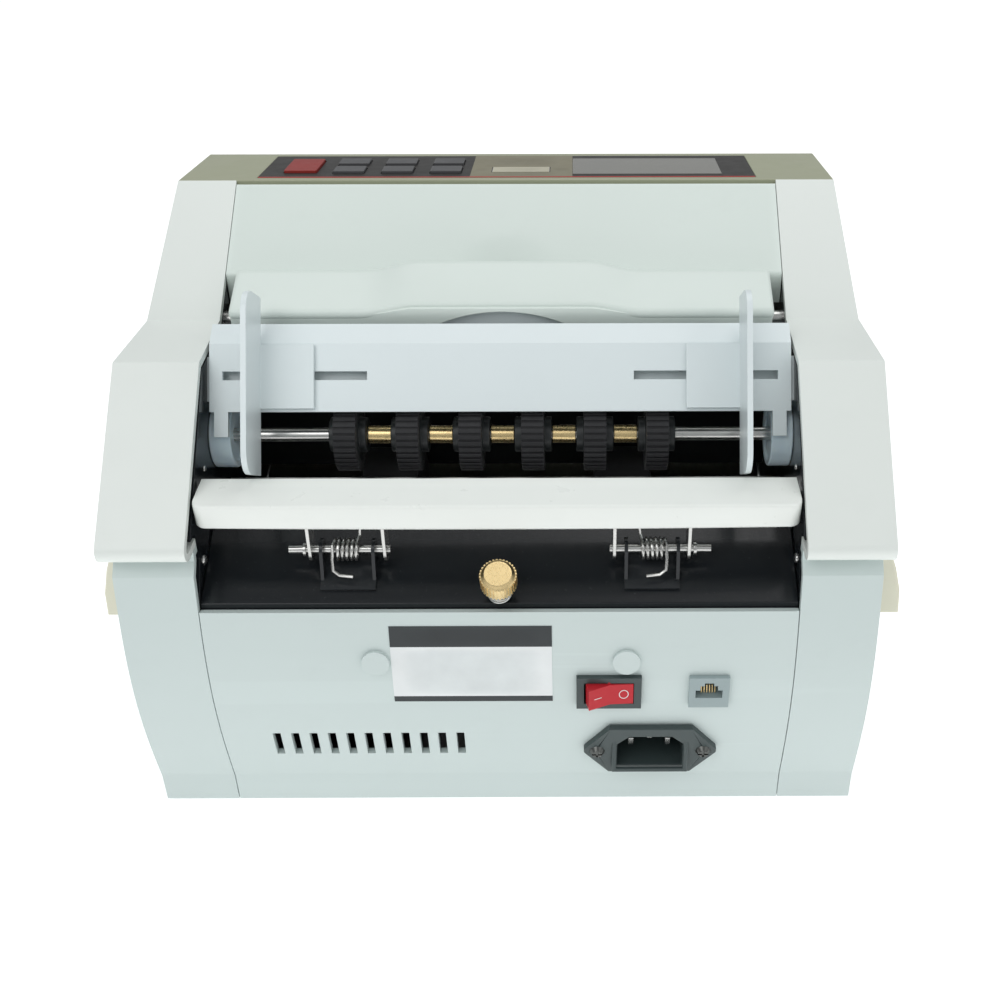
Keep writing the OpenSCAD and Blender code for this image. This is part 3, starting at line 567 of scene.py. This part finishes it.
def make_ledge():
    stations = end_stations(LEDGE_HALF, LEDGE_END, range(0, 91, 9),
                            steps(-LEDGE_FLAT, LEDGE_FLAT, 49))
    bar = piece("ledge_bar", *loft([ledge_section(x) for x in stations]), "ledge_white",
                "ledge", "hopper_white", 0.35)
    foot = arc(LEDGE, 4, 180, 360, 16)
    lug = foot + [(18.4, 118), (19, 131.9), (10.4, 131.9), (9.8, 118)]
    plates = joined(*(prism(lug, x, x + LUG_THICK) for x in LUGS))
    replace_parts(bar, "hopper_ledge")
    piece("ledge_lugs", *joined(plates, mirrored(plates)), "steel", "ledge", "steel", 0.15)


def make_torsion_springs():
    """Coils and fixed legs stay on the brackets; the other legs swing with the ledge."""
    y, z = LEDGE
    half = COIL_PITCH * TURNS / 2
    low = SPRING_X - half
    high = SPRING_X + half
    coil = [(low + 2 * half * k,
             y + COIL_R * math.cos(math.radians(90 + 360 * TURNS * k)),
             z + COIL_R * math.sin(math.radians(90 + 360 * TURNS * k)))
            for k in steps(0, 1, TURNS * 28)]
    fixed = [(high + 0.4, y - 2.4, z + 3.2), (high + 0.5, y - 5.4, z - 0.6),
             (high + 0.2, y - 6.9, z - 4.6), (high - 2, y - 7.6, z - 6.0),
             (SPRING_X - 2.6, y - 7.9, z - 6.4)]
    moving = [(low, y + 0.2, z + COIL_R), (low - 0.5, y + 2.4, z + 4.4),
              (low - 1, y + 3.2, z + 9), (low - 1.4, y + 3.2, z + 17),
              (low - 5, y + 3.2, z + 18.6), (LUGS[0] + 0.6, y + 3.2, z + 18.8)]
    springs = tube(coil + fixed, WIRE)
    body = piece("torsion_spring_coils", *joined(springs, mirrored(springs)), "steel",
                 "chassis", "steel")
    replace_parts(body, "torsion_springs")
    legs = tube(moving, WIRE)
    piece("torsion_spring_legs", *joined(legs, mirrored(legs)), "steel", "ledge", "steel")


def make_gap_spring():
    foot_y, foot_z = SCREW_FOOT
    path = []
    for k in steps(0, 1, 160):
        a = 2 * math.pi * GAP_TURNS * k
        across = GAP_COIL_R * math.sin(a)
        up = GAP_LIFT + GAP_HEIGHT * k
        path.append((GAP_COIL_R * math.cos(a),
                     foot_y + across * math.cos(SCREW_TILT) - up * math.sin(SCREW_TILT),
                     foot_z + across * math.sin(SCREW_TILT) + up * math.cos(SCREW_TILT)))
    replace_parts(piece("gap_spring", *tube(path, GAP_WIRE), "steel", "chassis", "steel"),
                "thumbscrew_spring")


# Handle -----------------------------------------------------------------------------------

HANDLE_PIVOT = (91, 165)
HANDLE_HALF = 100
HANDLE_END = 1.5  # radius of the bar's ends
ARCH_FLAT, ARCH_FOOT = 31, 52  # how far out the raised middle is flat, and where it ends
ARM_TIP = (80, 173.4)
PIN_R, PIN_REACH = 3, 107.9
SKIRT_FOOT = 168
CUT_Z, CUT_R = 119.4, 57  # the arc cut out of the skirt for the fingers
WEB_HALF = 40


def arch(x):
    """1 over the handle's raised middle, easing to 0 on each side."""
    if abs(x) < ARCH_FLAT:
        return 1.0
    if abs(x) > ARCH_FOOT:
        return 0.0
    return 0.5 + 0.5 * math.cos(math.pi * (abs(x) - ARCH_FLAT) / (ARCH_FOOT - ARCH_FLAT))


def handle_section(x):
    """A belt round a slim rear edge and a fuller front one, both higher in the middle."""
    k = arch(x)
    rear = (75 + 1.4 * k, 175 + 2.4 * k)
    front = (92.2, 179.4 + 3.6 * k)
    reach = max(0.0, abs(x) - (HANDLE_HALF - HANDLE_END))
    shrink = math.sqrt(max(0.0, HANDLE_END ** 2 - reach ** 2)) - HANDLE_END
    return [(x, y, z) for y, z in belt(rear, 2.6 - 0.4 * k + shrink, front, 4.6 + shrink, 16)]


def skirt_section(x):
    """The skirt under the handle's rear edge, cut away in an arc for the fingers."""
    high = 175.4 + 2.4 * arch(x)
    cut = CUT_Z + math.sqrt(max(0.0, CUT_R ** 2 - x * x))
    low = min(max(SKIRT_FOOT, cut), high - 0.8)
    return [(x, 72.5, low), (x, 74.4, low), (x, 74.4, high), (x, 72.7, high)]


def make_handle():
    stations = end_stations(HANDLE_HALF, HANDLE_END, range(0, 76, 15),
                            steps(3 - HANDLE_HALF, HANDLE_HALF - 3, 97))
    bar = loft([handle_section(x) for x in stations])
    arm = prism(belt(HANDLE_PIVOT, 4.8, ARM_TIP, 3.6), HANDLE_HALF - 2.8, HANDLE_HALF - 0.2)
    pin = prism(arc(HANDLE_PIVOT, PIN_R, 0, 345, 23), HANDLE_HALF - 0.5, PIN_REACH)
    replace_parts(piece("handle_bar", *joined(bar, arm, mirrored(arm)), "shell", "handle",
                      "shell"), "carry_handle")
    piece("handle_pins", *joined(pin, mirrored(pin)), "steel", "handle", "steel", 0.3)
    skirt = loft([skirt_section(x) for x in steps(0.6 - HANDLE_HALF, HANDLE_HALF - 0.6, 198)])
    piece("handle_skirt", *skirt, "shell", "handle", "shell", 0.25)
    web = [[(x, 74.7, 165), (x, 75.5, 165), (x, 75.9, 176.2), (x, 75.1, 176.2)]
           for x in steps(-WEB_HALF, WEB_HALF, 8)]
    piece("handle_web", *loft(web), "hopper_white", "handle", "shell", 0.2)


# Covers and prints ------------------------------------------------------------------------

COVER_LIP, COVER_RIDGE = (98.4, 180.1), (133.4, 202.8)  # ends of the slope, [y, z]
COVER_HALF, COVER_THICK = 105.7, 2.4
DIMPLE_HALF, DIMPLE_RISE, DIMPLE_DEPTH = 23, 19, 0.9
LABEL_X = (-39.5, 18.3)
PRINT_THICK = 0.12


def cover_line(s):
    """The centre cover's line and its inward direction, s mm up the slope from the lip."""
    y, z = COVER_LIP
    if s < 0:
        return (y, z + s), (1, 0)
    slope = math.dist(COVER_LIP, COVER_RIDGE)
    rise_y = (COVER_RIDGE[0] - y) / slope
    rise_z = (COVER_RIDGE[1] - z) / slope
    return (y + rise_y * s, z + rise_z * s), (rise_z, -rise_y)


def cover_place(x, s, depth):
    (y, z), (inward_y, inward_z) = cover_line(s)
    dip = depth
    if s > 0:
        spread = min(1.0, math.hypot(x / DIMPLE_HALF, s / DIMPLE_RISE))
        dip += DIMPLE_DEPTH * (1 + math.cos(math.pi * spread))
    return x, y + inward_y * dip, z + inward_z * dip


def make_top_cover():
    columns = steps(-COVER_HALF, COVER_HALF, 106)
    rows = [-12, -6, -2, -0.8, 0.4] + steps(1.2, 41.6, 40)
    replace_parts(piece("centre_cover", *slab(cover_place, columns, rows, COVER_THICK), "shell",
                      "chassis", "shell", 0.0, 50), "top_cover")


def make_label():
    bands = [("label_foot", 58, 60.6, "label_dark"), ("label_field", 60.6, 82.6, "label_paper"),
             ("label_head", 82.6, 91, "label_dark")]
    for name, low, high, material in bands:
        rows = steps(low, high, max(2, round((high - low) / 1.5)))
        sheet = slab(lambda x, z, h: on_wall(x, z, 0.05 + h), steps(*LABEL_X, 8), rows, 0.16)
        piece(name, *sheet, material, "chassis", "membrane", 0.0, 60)


def film(name, x0, x1, back, front, material, lift=0.02):
    """A printed rectangle on the control panel."""
    sheet = slab(lambda x, along, h: on_panel(x, along, lift + h), steps(x0, x1, 6),
                 steps(back, front, 3), PRINT_THICK)
    piece(name, *sheet, material, "chassis", "membrane")


def make_panel_print():
    """A grey field with an opening for the pale slot, and a red line behind it all."""
    left, right, back, front = -14.8, 26, 5.4, 45.6
    hole_left, hole_right, hole_back, hole_front = -6.7, 17.1, 12.9, 23.1
    gap = 0.5
    film("print_middle_back", left, right, back, hole_back, "grey_print")
    film("print_middle_front", left, right, hole_front, front, "grey_print")
    film("print_middle_left", left, hole_left, hole_back, hole_front, "grey_print")
    film("print_middle_right", hole_right, right, hole_back, hole_front, "grey_print")
    film("print_red_line", -98.6, 98.6, 4.3, 5.3, "red_line")
    film("print_slot", hole_left + gap, hole_right - gap, hole_back + gap, hole_front - gap,
         "pale_print", 0.12)


# Rear wall fittings and small parts -------------------------------------------------------

ROCKER = (38.8, 63)  # middles of the fittings on the rear wall, [x, z]
JACK = (75.2, 63)
INLET = (54.7, 32.7)
ROCKER_TILT = math.radians(14)
ROCKER_HALF, ROCKER_WING = 8.3, 1.6
MARK_WIRE = 0.16
FRAME_X = 106  # inner face of a side frame


def on_rocker(along, up, out):
    """A place on the rocker's face, which stands out more towards its two ends."""
    wing = ROCKER_WING * (1 + abs(along) / ROCKER_HALF) + out
    x = along * math.cos(ROCKER_TILT) + wing * math.sin(ROCKER_TILT)
    y = along * math.sin(ROCKER_TILT) - wing * math.cos(ROCKER_TILT)
    return ROCKER[0] + x, wall_y(ROCKER[1]) - 1 + y, ROCKER[1] + up


def make_rocker_marks():
    ring = [on_rocker(4.9 + 1.6 * math.cos(a), 1.9 * math.sin(a), 0.02)
            for a in steps(0, 2 * math.pi, 32)]
    dash = [on_rocker(x, 0, 0.02) for x in steps(-6.2, -3.4, 4)]
    marks = joined(tube(ring, MARK_WIRE, 6), tube(dash, MARK_WIRE, 6))
    piece("rocker_marks", *marks, "white_print", "rocker", "red_plastic")


def make_jack_contacts():
    x0, z0 = JACK
    rear = wall_y(z0)
    wires = [tube([(x0 + x, rear + 1.2, z0 - 2.3), (x0 + x, rear + 2.2, z0 + 0.4),
                   (x0 + x, rear + 5.6, z0 + 2.4)], 0.24, 8) for x in steps(-2.5, 2.5, 5)]
    piece("jack_contacts", *joined(*wires), "brass", "chassis", "brass")


def inlet_ring(grow, out):
    """One edge loop of the inlet's rim, its two upper corners cut."""
    w, low, high, cut = 12.4 + grow, -8.6 - grow, 8.6 + grow, 4.6 + 0.4 * grow
    corners = [(-w, low), (w, low), (w, high - cut), (w - cut, high), (cut - w, high),
               (-w, high - cut)]
    x0, z0 = INLET
    return [(x0 + x, wall_y(z0) - 2.6 - out, z0 + z) for x, z in corners]


def make_inlet_rim():
    """Raised rim round the recess: four loops joined into a closed ring."""
    loops = [inlet_ring(2.2, -0.2), inlet_ring(1.9, 0.9), inlet_ring(0.4, 0.9),
             inlet_ring(0.05, -0.2)]
    n = len(loops[0])
    verts = [v for loop in loops for v in loop]
    faces = [(i * n + j, i * n + (j + 1) % n, (i + 1) % 4 * n + (j + 1) % n, (i + 1) % 4 * n + j)
             for i in range(4) for j in range(n)]
    piece("inlet_rim", verts, faces, "bezel", "chassis", "black_plastic", 0.3)


def make_slot_backing():
    strip = slab(lambda x, up, h: on_face(x, 4.9 + h, up), steps(46, 102.5, 6),
                 steps(8.5, 17.5, 4), 0.9)
    piece("slot_backing", *joined(strip, mirrored(strip)), "hopper_white", "chassis",
          "hopper_white", 0.1)


def pan_head(x, y, z, r, side):
    """Pan head of a small screw on the inner face of a side frame; side is 1 or -1."""
    rings = []
    for angle in steps(0, 90, 6):
        a = math.radians(angle)
        width = r * max(0.05, math.cos(a))
        rings.append([(x - side * 0.55 * r * math.sin(a), y + width * math.cos(t),
                       z + width * math.sin(t)) for t in steps(0, 2 * math.pi, 20)[:-1]])
    return loft(rings)


def make_frame_screws():
    spots = [(22, 128, 1.9), (33, 134, 1.1), (14, 107.5, 1.9)]
    heads = [pan_head(side * FRAME_X, y, z, r, side) for side in (-1, 1) for y, z, r in spots]
    piece("frame_screws", *joined(*heads), "steel", "chassis", "steel")


dress_nodes()
for make in (make_ledge, make_torsion_springs, make_gap_spring, make_handle, make_top_cover,
             make_label, make_panel_print, make_rocker_marks, make_jack_contacts,
             make_inlet_rim, make_slot_backing, make_frame_screws):
    make()
make_camera()
make_stage()
